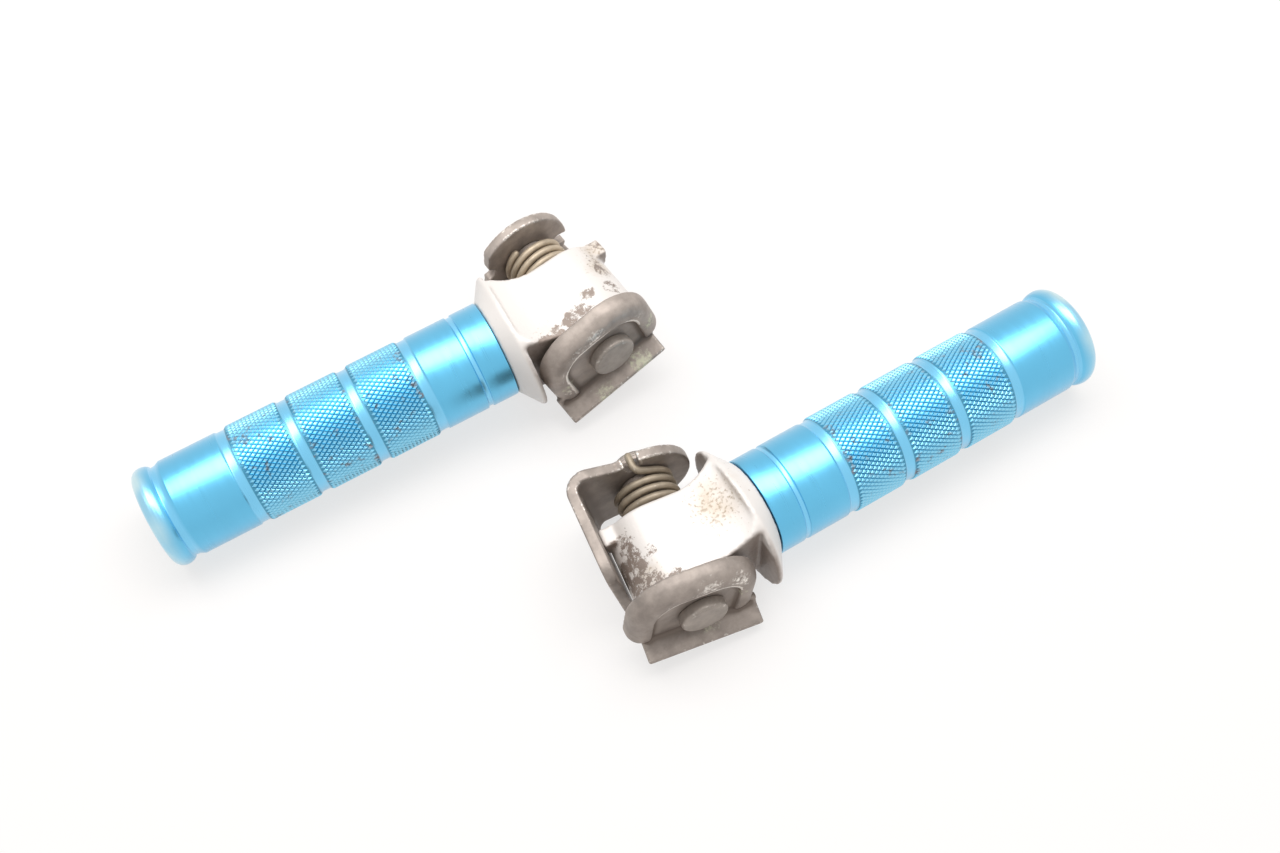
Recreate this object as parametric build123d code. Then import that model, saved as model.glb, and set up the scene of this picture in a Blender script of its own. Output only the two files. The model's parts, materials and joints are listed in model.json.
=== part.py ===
from build123d import *
from math import atan2, cos, degrees, radians, sin, sqrt
import os

# A pair of folding passenger footpegs, lying as they come to rest on a flat surface.
# Each peg is drawn in its own frame: Y is the axis of the pivot pin, whose head is at +Y,
# X points out along the peg and Z is up. The right peg is the mirror image of the left one.
# The right peg is unfolded against its stop, and the left one is folded. Millimetres.

# Pivot pin
PIN_R = 5.0
PIN_HEAD_R = 7.0
PIN_HEAD_H = 3.6
PIN_EDGE = 0.6
PIN_TAIL = 2.4
RUNNING_FIT = 0.05
FACE_GAP = 0.1

# Washer and clip that hold the pin's tail
WASHER_R = 9.0
WASHER_T = 1.6
CLIP_R = 8.0
CLIP_T = 1.0
CLIP_GROOVE = 0.9
CLIP_MOUTH = 7.0

# Pressed bracket: an ear with a round slotted head, and a web bent off it
SHEET = 3.2
EAR_HEAD_R = 15.5
EAR_HEAD_DROP = 1.5
WEB_FACE = 20.0
WEB_TOP = 18.0
WEB_BOTTOM = 14.5
WEB_NEAR_END = 6.0
BEND_R = 2.8
WEB_CORNER_R = 5.0
SHOULDER_X = 13.0
SLOT_W = 4.4
SLOT_DEPTH = 5.0
UNFOLDED_TURN = 10.0
FOLD_ANGLE = 90.0

# Holes in the web for two M6 screws
MOUNT_R = 3.3
MOUNT_PITCH = 18.0
MOUNT_RISE = 1.5

# Cast peg arm: knuckle, flange and the spindle inside the sleeve
KNUCKLE_HALF = 12.5
KNUCKLE_R = 12.8
KNUCKLE_BACK = 3.2
KNUCKLE_DROP = 0.8
NECK_START = 7.0
NECK_BOTTOM = 11.6
NECK_SAG = 1.8
NECK_NEAR = 12.3
NECK_FAR = 15.5
NECK_FLARE = 1.2
KNUCKLE_EDGE_R = 1.2
FLANGE_FRONT = 26.3
FLANGE_HALF_WIDTH = 22.5
FLANGE_HALF_HEIGHT = 17.0
FLANGE_EDGE = 1.2
FLANGE_CONE = 4.6
SKEW = 7.7
THREAD_R = 3.4
THREAD_DEPTH = 24.0

# Stop pad on the knuckle, which bears on the web
STOP_LOW = 3.5
STOP_HIGH = 9.0
STOP_WIDTH = 5.5
STOP_GAP = 0.05

# Spacer tube and return spring between the knuckle and the ear
SPRING_ROOM = 11.7
TUBE_R = 6.2
WIRE_R = 1.1
WIRE_SWELL = 0.05
SPRING_CLEARANCE = 0.3
SPRING_END_GAP = 0.2
SPRING_TURNS = 3.25
LEG_BEND_R = 2.2
LEG_HOLE_CLEARANCE = 0.6
LEG_HOLE_DEPTH = 5.0
LEG_REACH = 6.5
HOOK_OVERHANG = 1.6

# Pressed side plate under the pin's head: a D that reaches further to the left, seen from
# outside, on both pegs, with a lip that stops short of the D's side by the web
PLATE_T = 2.0
PLATE_LEFT = 21.0
PLATE_RIGHT = 17.6
PLATE_TOP = 17.4
PLATE_BOTTOM = 10.8
PLATE_DEPTH = 6.8
PLATE_TOP_R = 14.5
PLATE_BOTTOM_R = 4.5
PLATE_EDGE_R = 4.6
RECESS_MARGIN = 6.2
RECESS_DEPTH = 1.3
RECESS_EDGE_R = 0.9
LIP_OVERHANG = 0.8
LIP_SETBACK = 4.0
LIP_REACH = 6.4
LIP_FALL = 2.2
LIP_BEND_R = 2.6
PLATE_TURN_LEFT = 12.5
PLATE_TURN_RIGHT = 6.5

# Grip sleeve, turned from bar; lengths run along it from its inner end
SLEEVE_R = 15.0
SLEEVE_L = 111.0
SLEEVE_WALL = 5.9
SLEEVE_CHAMFER = 0.4
FLANGE_GAP = 0.3
SPINDLE_FIT = 0.1
COLLAR_L = 8.0
COLLAR_GROOVE_W = 1.8
COLLAR_GROOVE_DEPTH = 0.5
BAND_START = 24.4
OUTER_PLAIN = 28.4
BAND_COUNT = 3
BAND_RISE = 0.3
BAND_CHAMFER = 0.5
BAND_GROOVE_W = 2.2
BAND_GROOVE_DEPTH = 0.4
NECK_TO_END = 7.1
NECK_W = 2.0
NECK_DEPTH = 0.9
BEAD_RISE = 0.6
BEAD_ROUND = 3.2
SHOULDER_T = 3.6
SHOULDER_HOLE_R = 4.4
END_WALL = 5.4
END_RECESS = 15.0

# Screw and washer that hold the sleeve on the spindle
SCREW_R = 4.0
SCREW_L = 22.0
SCREW_HEAD_R = 6.5
SCREW_HEAD_H = 6.0
SCREW_SOCKET = 3.0
SCREW_SOCKET_DEPTH = 3.6
SEAT_WASHER_GAP = 1.2
SEAT_WASHER_T = 1.4

# How the two pegs lie: headings of their X axes and the places of their pivots
HEADING = {"left": -148.0, "right": 19.2}
PIVOT_HALF_SPAN = (11.9, 40.2)

# Sizes worked out from the ones above
BORE_R = PIN_R + RUNNING_FIT
EAR_INNER = KNUCKLE_HALF + SPRING_ROOM
EAR_OUTER = EAR_INNER + SHEET
WEB_INNER = WEB_FACE - SHEET
PLATE_BACK = KNUCKLE_HALF + FACE_GAP
PLATE_FACE = PLATE_BACK + PLATE_DEPTH
HEAD_SEAT = PLATE_FACE - RECESS_DEPTH
COIL_R = TUBE_R + SPRING_CLEARANCE + WIRE_R
HOOK_AT = EAR_HEAD_R - EAR_HEAD_DROP - SLOT_DEPTH / 2
SLEEVE_START = FLANGE_FRONT + FLANGE_GAP
RIM_BACK = FLANGE_FRONT - FLANGE_CONE - FLANGE_EDGE
SLEEVE_BORE_R = SLEEVE_R - SLEEVE_WALL
END_BORE_R = SLEEVE_R - END_WALL
SEAT_WASHER_R = END_BORE_R - SEAT_WASHER_GAP
SPINDLE_R = SLEEVE_BORE_R - SPINDLE_FIT
SPINDLE_L = SLEEVE_L - END_RECESS
NECK_AT = SLEEVE_L - NECK_TO_END
BAND_PITCH = round((SLEEVE_L - BAND_START - OUTER_PLAIN) / BAND_COUNT, 3)
SHOULDER_AT = SPINDLE_L + FLANGE_GAP
BEAD_R = SLEEVE_R + BEAD_RISE
BEAD_CROWN = SLEEVE_L - BEAD_ROUND
GRIP = Rot(0, 0, -SKEW)
TURN = {"left": UNFOLDED_TURN + FOLD_ANGLE, "right": UNFOLDED_TURN}
PLATE_TURN = {"left": PLATE_TURN_LEFT, "right": PLATE_TURN_RIGHT}
PLATE_REACH = {"left": (PLATE_RIGHT, PLATE_LEFT), "right": (PLATE_LEFT, PLATE_RIGHT)}


def bar_along_y(radius, low, high):
    """A round bar about the pin's axis from y = low to y = high."""
    return Plane.XZ.offset(-high) * extrude(Circle(radius), high - low)


def extrude_along_x(outline, low, high):
    return Plane.YZ.offset(low) * extrude(outline, high - low)


def bar_along_x(radius, low, high):
    """A round bar about the grip's axis."""
    return extrude_along_x(Circle(radius), low, high)


def pivot_pin():
    """Headed pin with a clip groove near its tail."""
    clip_at = -(EAR_OUTER + WASHER_T + CLIP_T)
    tail = clip_at - PIN_TAIL
    pin = bar_along_y(PIN_R, tail, HEAD_SEAT + PIN_EDGE)
    head = bar_along_y(PIN_HEAD_R, HEAD_SEAT, HEAD_SEAT + PIN_HEAD_H)
    head = chamfer(head.edges().group_by(Axis.Y)[-1], PIN_EDGE)
    pin = chamfer(pin.edges().group_by(Axis.Y)[0], PIN_EDGE)
    groove = bar_along_y(PIN_R + 1, clip_at, clip_at + CLIP_T)
    groove -= bar_along_y(PIN_R - CLIP_GROOVE, clip_at, clip_at + CLIP_T)
    return pin + head - groove


def pin_washer():
    """Flat washer against the outer face of the ear."""
    washer = bar_along_y(WASHER_R, -EAR_OUTER - WASHER_T, -EAR_OUTER)
    return washer - bar_along_y(BORE_R, -EAR_OUTER - WASHER_T, -EAR_OUTER)


def pin_clip():
    """Open clip snapped into the groove of the pin."""
    low = -(EAR_OUTER + WASHER_T + CLIP_T)
    high = low + CLIP_T
    ring = bar_along_y(CLIP_R, low, high)
    ring -= bar_along_y(PIN_R - CLIP_GROOVE + RUNNING_FIT, low, high)
    mouth = Pos(CLIP_R, (low + high) / 2, 0) * Box(2 * CLIP_R, CLIP_T, CLIP_MOUTH)
    return ring - mouth


def ear_outline():
    """Side outline of the bracket: the round head and the stem that runs to the web."""
    stem = make_face(Polyline(
        (-WEB_FACE, WEB_TOP),
        (-SHOULDER_X, WEB_TOP),
        (-SLOT_W, sqrt(EAR_HEAD_R ** 2 - SLOT_W ** 2) - EAR_HEAD_DROP),
        (-SLOT_W, -WEB_BOTTOM),
        (-WEB_FACE, -WEB_BOTTOM),
        close=True))
    return Pos(0, -EAR_HEAD_DROP) * Circle(EAR_HEAD_R) + stem


def bracket():
    """Ear and web bent from one sheet, in the bracket's own frame (web towards -X)."""
    corner_out = (-WEB_FACE, -EAR_OUTER)
    corner_in = (-WEB_INNER, -EAR_INNER)
    plan = make_face(Polyline(
        (EAR_HEAD_R, -EAR_OUTER),
        corner_out,
        (-WEB_FACE, WEB_NEAR_END),
        (-WEB_INNER, WEB_NEAR_END),
        corner_in,
        (EAR_HEAD_R, -EAR_INNER),
        close=True))
    plan = fillet(plan.vertices().sort_by_distance((*corner_out, 0))[0], BEND_R + SHEET)
    plan = fillet(plan.vertices().sort_by_distance((*corner_in, 0))[0], BEND_R)
    bent = Pos(0, 0, -WEB_BOTTOM) * extrude(plan, WEB_TOP + WEB_BOTTOM)
    outline = Plane.XZ * extrude(ear_outline(), EAR_OUTER + WEB_NEAR_END, both=True)
    bent = bent & outline
    web_end = bent.edges().filter_by(Axis.X).group_by(Axis.Y)[-1]
    bent = fillet(web_end, WEB_CORNER_R)
    bent -= bar_along_y(BORE_R, -EAR_OUTER - 1, -EAR_INNER + 1)
    for side in (1, -1):
        bent -= ear_slot(side)
        bent -= mount_hole(side)
    return bent


def ear_slot(side):
    """Round-bottomed slot in the head for the hook of the spring."""
    floor = EAR_HEAD_R - SLOT_DEPTH
    top = EAR_HEAD_R + SLOT_W
    outline = SlotOverall(2 * (top - floor), SLOT_W, rotation=90)
    outline = Pos(0, side * top - EAR_HEAD_DROP) * outline
    return Plane.XZ.offset(EAR_INNER - 1) * extrude(outline, SHEET + 2)


def mount_y():
    """The middle of the free stretch of web beside the knuckle."""
    return -(KNUCKLE_HALF + EAR_INNER) / 2


def mount_z(side):
    return MOUNT_RISE + side * MOUNT_PITCH / 2


def mount_hole(side):
    """Clearance hole through the web for a mounting screw."""
    hole = Plane.YZ.offset(-WEB_FACE - 1) * extrude(Circle(MOUNT_R), SHEET + 2)
    return Pos(0, mount_y(), mount_z(side)) * hole


def spacer_tube():
    """Tube on the pin that carries the spring."""
    low, high = -EAR_INNER + FACE_GAP, -KNUCKLE_HALF - FACE_GAP
    return bar_along_y(TUBE_R, low, high) - bar_along_y(BORE_R, low, high)


def slot_tangent():
    """Angle about the pin at which a straight leg leaves the coil for the upper slot."""
    return 90 - degrees(atan2(sqrt(HOOK_AT ** 2 - COIL_R ** 2), COIL_R))


def coil_point(angle, y):
    return Vector(COIL_R * cos(radians(angle)), y, COIL_R * sin(radians(angle)))


def wire(points):
    """Round wire along straight runs with bends between them, slightly swollen at its start."""
    path = FilletPolyline(*points, radius=LEG_BEND_R)
    section = Plane(origin=path @ 0, z_dir=path % 0) * Circle(WIRE_R)
    return sweep(section, path) + Pos(*points[0]) * Sphere(WIRE_R + WIRE_SWELL)


def spring_ends():
    """The y of the first turn by the ear and of the last by the knuckle."""
    slack = SPRING_END_GAP + WIRE_R
    return -EAR_INNER + slack, -KNUCKLE_HALF - slack


def leg_end_angle(turn):
    """Angle about the pin at which the coil ends by the knuckle."""
    return slot_tangent() + turn - 360 * SPRING_TURNS


def knuckle_leg_points(turn):
    """Corners of the leg that lies on the knuckle's far face and dives into its hole."""
    angle = leg_end_angle(turn)
    start = coil_point(angle, spring_ends()[1])
    along = Vector(sin(radians(angle)), 0, -cos(radians(angle)))
    corner = start + along * LEG_REACH
    return start, corner, corner + Vector(0, LEG_HOLE_DEPTH, 0)


def return_spring(turn, hooked):
    """Torsion spring on the tube; its hook sits in the upper slot of the ear."""
    far, near = spring_ends()
    pitch = (near - far) / SPRING_TURNS
    angle = slot_tangent() + turn
    helix = Helix(pitch=pitch, height=near - far, radius=COIL_R)
    section = Plane(origin=helix @ 0, z_dir=helix % 0) * Circle(WIRE_R)
    coil = sweep(section, helix, is_frenet=True)
    # The helix climbs along Z from +X: it is laid along +Y and turned to start at the angle.
    coil = Pos(0, far, 0) * Rot(0, -angle, 0) * Rot(-90, 0, 0) * coil
    spring = coil + wire(knuckle_leg_points(turn))
    if hooked:
        start = coil_point(angle, far)
        corner = Vector(HOOK_AT * cos(radians(90 + turn)), far, HOOK_AT * sin(radians(90 + turn)))
        tip = corner + Vector(0, -(EAR_OUTER + far + HOOK_OVERHANG), 0)
        spring += wire((start, corner, tip))
    return spring


def rim_point(across):
    """A point of the flange's rim plane in plan, by its distance from the grip's axis."""
    along = RIM_BACK + FLANGE_EDGE / 2
    skew = radians(SKEW)
    return along * cos(skew) + across * sin(skew), across * cos(skew) - along * sin(skew)


def side_profile():
    """Side profile of the knuckle and of its neck up to the flange."""
    back = (-KNUCKLE_BACK, -KNUCKLE_DROP)
    flange_x = rim_point(NECK_NEAR)[0]
    top = KNUCKLE_R - KNUCKLE_DROP
    neck_top = FLANGE_HALF_HEIGHT
    middle = ((NECK_START + flange_x) / 2, (top + neck_top) / 2 - NECK_SAG)
    crown = (NECK_START, top)
    with BuildSketch() as side:
        with BuildLine():
            Line((back[0], top), crown)
            ThreePointArc(crown, middle, (flange_x, neck_top - FLANGE_EDGE / 2))
            Polyline((flange_x, neck_top - FLANGE_EDGE / 2), (flange_x, -NECK_BOTTOM),
                     (back[0], -NECK_BOTTOM), (back[0], top))
        make_face()
        with Locations(back):
            Circle(KNUCKLE_R)
    return side.sketch


def plan_profile():
    """Plan of the knuckle and its neck, which follows the grip's skew and flares on the far side."""
    near = rim_point(NECK_NEAR)
    far = rim_point(-NECK_FAR)
    back = -2 * KNUCKLE_R
    middle = ((NECK_START + far[0]) / 2, (far[1] - KNUCKLE_HALF) / 2 + NECK_FLARE)
    with BuildSketch() as plan:
        with BuildLine():
            Polyline((NECK_START, -KNUCKLE_HALF), (back, -KNUCKLE_HALF), (back, KNUCKLE_HALF),
                     (NECK_START, KNUCKLE_HALF), near, far)
            ThreePointArc(far, middle, (NECK_START, -KNUCKLE_HALF))
        make_face()
    return plan.sketch


def knuckle():
    """Knuckle and neck, kept within the oval of the flange."""
    width = 2 * FLANGE_HALF_WIDTH
    body = Plane.XZ * extrude(side_profile(), width / 2, both=True)
    body = body & extrude(plan_profile(), FLANGE_HALF_HEIGHT, both=True)
    behind_neck = Pos(NECK_START - width / 2, 0, 0) * Box(width, width, width)
    return body & (behind_neck + GRIP * extrude_along_x(flange_oval(), 0, FLANGE_FRONT))


def flange_oval():
    return Ellipse(FLANGE_HALF_WIDTH, FLANGE_HALF_HEIGHT)


def flange():
    """Oval flange that tapers to the sleeve's diameter, square to the grip."""
    oval = flange_oval()
    rim_front = RIM_BACK + FLANGE_EDGE
    rim = Plane.YZ.offset(RIM_BACK) * extrude(oval, FLANGE_EDGE)
    front = Circle(SLEEVE_R - SLEEVE_CHAMFER)
    cone = loft([Plane.YZ.offset(rim_front) * oval, Plane.YZ.offset(FLANGE_FRONT) * front])
    return rim + cone


def stop_pad():
    """Pad at the far top corner of the knuckle that meets the web when unfolded."""
    face = -WEB_INNER + STOP_GAP
    pad = Pos((face - KNUCKLE_BACK) / 2, -KNUCKLE_HALF + STOP_WIDTH / 2, (STOP_LOW + STOP_HIGH) / 2)
    pad *= Box(-face - KNUCKLE_BACK, STOP_WIDTH, STOP_HIGH - STOP_LOW)
    return Rot(0, -UNFOLDED_TURN, 0) * pad


def peg_arm():
    """One casting: knuckle, flange and spindle, bored for the pin and the spring's leg."""
    body = knuckle()
    round_back = body.edges().filter_by(GeomType.CIRCLE).filter_by_position(Axis.X, -2 * KNUCKLE_R, 0)
    body = fillet(round_back, KNUCKLE_EDGE_R)
    body += stop_pad()
    body += GRIP * flange()
    spindle = bar_along_x(SPINDLE_R, FLANGE_FRONT - FLANGE_CONE, SLEEVE_START + SPINDLE_L)
    spindle = chamfer(spindle.edges().group_by(Axis.X)[-1], SLEEVE_CHAMFER * 2)
    end = SLEEVE_START + SPINDLE_L
    spindle -= bar_along_x(THREAD_R, end - THREAD_DEPTH, end)
    body += GRIP * spindle
    body -= bar_along_y(BORE_R, -KNUCKLE_HALF - 1, KNUCKLE_HALF + 1)
    corner = knuckle_leg_points(UNFOLDED_TURN)[1]
    hole_r = WIRE_R + LEG_HOLE_CLEARANCE
    hole = bar_along_y(hole_r, -KNUCKLE_HALF - 1, -KNUCKLE_HALF + LEG_HOLE_DEPTH)
    body -= Pos(corner.X, 0, corner.Z) * hole
    return body


def plate_outline(reach, shrink):
    """Upright D of the side plate, by its reach towards web and grip, smaller by shrink all round."""
    width = sum(reach) - 2 * shrink
    height = PLATE_TOP + PLATE_BOTTOM - 2 * shrink
    middle = (reach[1] - reach[0]) / 2, (PLATE_TOP - PLATE_BOTTOM) / 2
    shape = Pos(*middle) * Rectangle(width, height)
    shape = fillet(shape.vertices().group_by(Axis.Y)[-1], PLATE_TOP_R - shrink)
    return fillet(shape.vertices().group_by(Axis.Y)[0], max(PLATE_BOTTOM_R - shrink, PLATE_T / 2))


def plate_block(reach, shrink, face, edge):
    """The D as a block from the plate's back to y = face, its outer edge rounded."""
    block = Plane.XZ.offset(-face) * extrude(plate_outline(reach, shrink), face - PLATE_BACK)
    return fillet(block.edges().group_by(Axis.Y)[-1], edge)


def side_plate(reach):
    """Dished pressing with a recess round the pin's head and a flared lip below."""
    dish = plate_block(reach, 0, PLATE_FACE, PLATE_EDGE_R)
    hollow = plate_block(reach, PLATE_T, PLATE_FACE - PLATE_T, PLATE_EDGE_R - PLATE_T)
    pocket = Plane.XZ.offset(-PLATE_FACE) * extrude(recess_outline(reach, RECESS_MARGIN), RECESS_DEPTH)
    pocket = fillet(pocket.edges().group_by(Axis.Y)[0], RECESS_EDGE_R)
    floor = recess_outline(reach, RECESS_MARGIN - PLATE_T / 2)
    floor = Plane.XZ.offset(-HEAD_SEAT) * extrude(floor, PLATE_T)
    plate = dish - hollow + (floor & dish) - pocket + side_lip(reach)
    return plate - bar_along_y(BORE_R, PLATE_BACK, PLATE_FACE + 1)


def recess_outline(reach, shrink):
    """Arch round the pin's head, inside the D by shrink, and open at its bottom."""
    top = PLATE_TOP - shrink
    bottom = -PLATE_BOTTOM - PLATE_T
    middle = (reach[1] - reach[0]) / 2, (top + bottom) / 2
    arch = Pos(*middle) * Rectangle(sum(reach) - 2 * shrink, top - bottom)
    return fillet(arch.vertices().group_by(Axis.Y)[-1], PLATE_TOP_R - shrink)


def side_lip(reach):
    """Straight lip along the bottom, bent outwards and a little down."""
    root = HEAD_SEAT - PLATE_T
    bend_z = -PLATE_BOTTOM + PLATE_T
    fall = LIP_FALL / LIP_REACH
    lip_end = HEAD_SEAT + LIP_REACH
    section = make_face(Polyline(
        (root, bend_z + PLATE_T),
        (HEAD_SEAT, bend_z + PLATE_T),
        (HEAD_SEAT, bend_z),
        (lip_end, bend_z - LIP_FALL),
        (lip_end - fall * PLATE_T, bend_z - LIP_FALL - PLATE_T),
        (root, bend_z - PLATE_T * (1 - fall)),
        close=True))
    inner = section.vertices().sort_by_distance((HEAD_SEAT, bend_z, 0))[0]
    section = fillet(inner, LIP_BEND_R - PLATE_T / 2)
    return extrude_along_x(section, LIP_SETBACK - reach[0], reach[1] + LIP_OVERHANG)


def sleeve_outline():
    """Outline of the turned sleeve from its inner end to the neck, as (x, radius) points."""
    points = [(0, SLEEVE_R - SLEEVE_CHAMFER), (SLEEVE_CHAMFER, SLEEVE_R)]
    points += [(COLLAR_L, SLEEVE_R), (COLLAR_L, SLEEVE_R - COLLAR_GROOVE_DEPTH)]
    points += [(COLLAR_L + COLLAR_GROOVE_W, SLEEVE_R - COLLAR_GROOVE_DEPTH)]
    points += [(COLLAR_L + COLLAR_GROOVE_W, SLEEVE_R)]
    half = BAND_GROOVE_W / 2
    floor = SLEEVE_R - BAND_GROOVE_DEPTH
    band = SLEEVE_R + BAND_RISE
    for i in range(BAND_COUNT + 1):
        at = BAND_START + i * BAND_PITCH
        before = SLEEVE_R if i == 0 else band
        after = SLEEVE_R if i == BAND_COUNT else band
        points += [(at - half - BAND_CHAMFER, before), (at - half, floor)]
        points += [(at + half, floor), (at + half + BAND_CHAMFER, after)]
    return points


def grip_sleeve():
    """Turned sleeve with a collar, three raised bands and a rounded bead at its end."""
    neck_r = SLEEVE_R - NECK_DEPTH
    bead_start = NECK_AT + NECK_W / 2
    outline = sleeve_outline()
    with BuildPart() as sleeve:
        with BuildSketch():
            with BuildLine():
                Polyline((0, SLEEVE_BORE_R), *outline, (NECK_AT - NECK_W, SLEEVE_R))
                ThreePointArc((NECK_AT - NECK_W, SLEEVE_R), (NECK_AT - NECK_W / 4, neck_r + NECK_DEPTH / 4),
                              (bead_start, neck_r))
                ThreePointArc((bead_start, neck_r),
                              (bead_start + (BEAD_CROWN - bead_start) / 3, BEAD_R - BEAD_RISE / 3),
                              (BEAD_CROWN, BEAD_R))
                RadiusArc((BEAD_CROWN, BEAD_R), (SLEEVE_L, BEAD_R - BEAD_ROUND), BEAD_ROUND)
                Polyline((SLEEVE_L, BEAD_R - BEAD_ROUND), (SLEEVE_L, END_BORE_R),
                         (SHOULDER_AT + SHOULDER_T, END_BORE_R), (SHOULDER_AT + SHOULDER_T, SHOULDER_HOLE_R),
                         (SHOULDER_AT, SHOULDER_HOLE_R), (SHOULDER_AT, SLEEVE_BORE_R), (0, SLEEVE_BORE_R))
            make_face()
        revolve(axis=Axis.X)
    return GRIP * Pos(SLEEVE_START, 0, 0) * sleeve.part


def seat_washer():
    """Washer under the head of the end screw."""
    low = SLEEVE_START + SHOULDER_AT + SHOULDER_T
    washer = bar_along_x(SEAT_WASHER_R, low, low + SEAT_WASHER_T)
    return GRIP * (washer - bar_along_x(SHOULDER_HOLE_R, low, low + SEAT_WASHER_T))


def end_screw():
    """Socket-head screw that clamps the sleeve on the spindle."""
    seat = SLEEVE_START + SHOULDER_AT + SHOULDER_T + SEAT_WASHER_T
    head = bar_along_x(SCREW_HEAD_R, seat, seat + SCREW_HEAD_H)
    head = chamfer(head.edges().group_by(Axis.X)[-1], PIN_EDGE)
    socket = Plane.YZ.offset(seat + SCREW_HEAD_H - SCREW_SOCKET_DEPTH)
    head -= socket * extrude(RegularPolygon(SCREW_SOCKET, 6, major_radius=False), SCREW_SOCKET_DEPTH)
    upper = SLEEVE_START + SPINDLE_L
    shank = bar_along_x(SCREW_R, upper, seat)
    thread = bar_along_x(THREAD_R, seat - SCREW_L, upper)
    return GRIP * (head + shank + thread)


def rest_place(side):
    """Where a peg's frame lies when its bead and its bracket both touch the surface."""
    turn = radians(TURN[side])
    corners = [(-WEB_FACE, WEB_TOP), (-WEB_FACE, -WEB_BOTTOM)]
    spun = [(x * cos(turn) - z * sin(turn), x * sin(turn) + z * cos(turn)) for x, z in corners]
    corner_x, corner_z = min(spun, key=lambda point: point[1])
    bead_x = (SLEEVE_START + BEAD_CROWN) * cos(radians(SKEW))
    dip = atan2(-corner_z - BEAD_R, bead_x - corner_x)
    height = bead_x * sin(dip) + BEAD_R * cos(dip)
    way = -1 if side == "left" else 1
    spot = Pos(way * PIVOT_HALF_SPAN[0], -way * PIVOT_HALF_SPAN[1], height)
    return spot * Rot(0, 0, HEADING[side]) * Rot(0, degrees(dip), 0)


def peg(side):
    """Every piece of one peg by name, in the left peg's form and in the peg's own frame."""
    spin = Rot(0, -TURN[side], 0)
    tilt = Rot(0, PLATE_TURN[side], 0)
    return {
        "bracket": spin * bracket(),
        "pivot_pin": pivot_pin(),
        "pin_washer": pin_washer(),
        "pin_clip": spin * pin_clip(),
        "spacer_tube": spacer_tube(),
        "return_spring": return_spring(UNFOLDED_TURN, side == "right"),
        "peg_arm": peg_arm(),
        "side_plate": tilt * side_plate(PLATE_REACH[side]),
        "grip_sleeve": grip_sleeve(),
        "seat_washer": seat_washer(),
        "end_screw": end_screw(),
    }


def assemble():
    """Both pegs at rest, with the origin under the middle of their common box."""
    placed = {}
    for side in ("left", "right"):
        for name, shape in peg(side).items():
            if side == "right":
                shape = mirror(shape, about=Plane.XZ)
            placed[side + "_" + name] = rest_place(side) * shape
    boxes = [shape.bounding_box() for shape in placed.values()]
    middle_x = (min(box.min.X for box in boxes) + max(box.max.X for box in boxes)) / 2
    middle_y = (min(box.min.Y for box in boxes) + max(box.max.Y for box in boxes)) / 2
    shift = Pos(-middle_x, -middle_y, 0)
    return {name: shift * shape for name, shape in placed.items()}, shift


def main():
    os.makedirs("parts", exist_ok=True)
    for name, shape in assemble()[0].items():
        export_step(shape, os.path.join("parts", name + ".step"))


if __name__ == "__main__":
    main()
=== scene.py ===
import json
from math import asin, atan, atan2, cos, hypot, pi, radians, sin, tau

import bpy
import numpy as np
from bpy.props import FloatProperty, FloatVectorProperty, IntProperty, PointerProperty
from mathutils import Matrix, Vector

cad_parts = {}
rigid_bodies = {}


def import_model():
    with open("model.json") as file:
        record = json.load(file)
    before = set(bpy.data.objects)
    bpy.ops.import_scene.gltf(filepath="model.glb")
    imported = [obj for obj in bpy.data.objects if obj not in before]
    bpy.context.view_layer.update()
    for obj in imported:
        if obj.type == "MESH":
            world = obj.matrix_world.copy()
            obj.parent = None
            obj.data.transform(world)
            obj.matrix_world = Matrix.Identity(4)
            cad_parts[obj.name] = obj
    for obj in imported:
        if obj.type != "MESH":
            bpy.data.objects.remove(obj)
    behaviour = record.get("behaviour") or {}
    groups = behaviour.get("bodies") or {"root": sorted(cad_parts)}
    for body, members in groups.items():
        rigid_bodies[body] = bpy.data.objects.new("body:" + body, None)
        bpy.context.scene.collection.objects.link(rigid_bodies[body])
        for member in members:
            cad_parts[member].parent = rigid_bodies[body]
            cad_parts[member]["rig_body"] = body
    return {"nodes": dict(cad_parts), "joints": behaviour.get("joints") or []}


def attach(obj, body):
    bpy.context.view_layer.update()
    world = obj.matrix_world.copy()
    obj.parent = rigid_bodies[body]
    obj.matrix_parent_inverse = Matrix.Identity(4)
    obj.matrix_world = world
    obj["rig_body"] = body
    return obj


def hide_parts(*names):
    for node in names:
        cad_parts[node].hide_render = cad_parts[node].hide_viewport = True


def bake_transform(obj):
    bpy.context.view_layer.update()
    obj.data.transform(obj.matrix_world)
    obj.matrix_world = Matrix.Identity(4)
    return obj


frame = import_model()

bl_info = {
    "name": "Folding footpegs",
    "version": (1, 0, 0),
    "blender": (4, 5, 0),
    "location": "3D View > Sidebar > Footpegs",
    "description": "Dresses a packed pair of folding footpegs with knurling, castings, pressings and springs",
    "category": "Object",
}

SIDES = ("left", "right")
UP = Vector((0, 0, 1))
PER_MM = 0.001
SENSOR_W = 36.0
WARM_WHITE = (1, 0.992, 0.986, 1)


def mm(value):
    """Metres from millimetres."""
    return value * PER_MM


def hex_colour(code):
    """Linear colour from an sRGB hex value."""
    def channel(at):
        value = int(code[at:at + 2], 16) / 255
        return value / 12.92 if value <= 0.04045 else ((value + 0.055) / 1.055) ** 2.4
    return tuple(channel(at) for at in (0, 2, 4))


def rgba(base, share=1.0):
    """A colour for a node's socket, darkened to a share of itself."""
    return (*(c * share for c in base), 1)


def length(name, description, value):
    """A size in metres, given in millimetres."""
    return FloatProperty(name=name, description=description, default=mm(value), min=0, unit="LENGTH")


def colour(name, description, code):
    return FloatVectorProperty(name=name, description=description, default=hex_colour(code),
                               min=0, max=1, subtype="COLOR")


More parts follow.
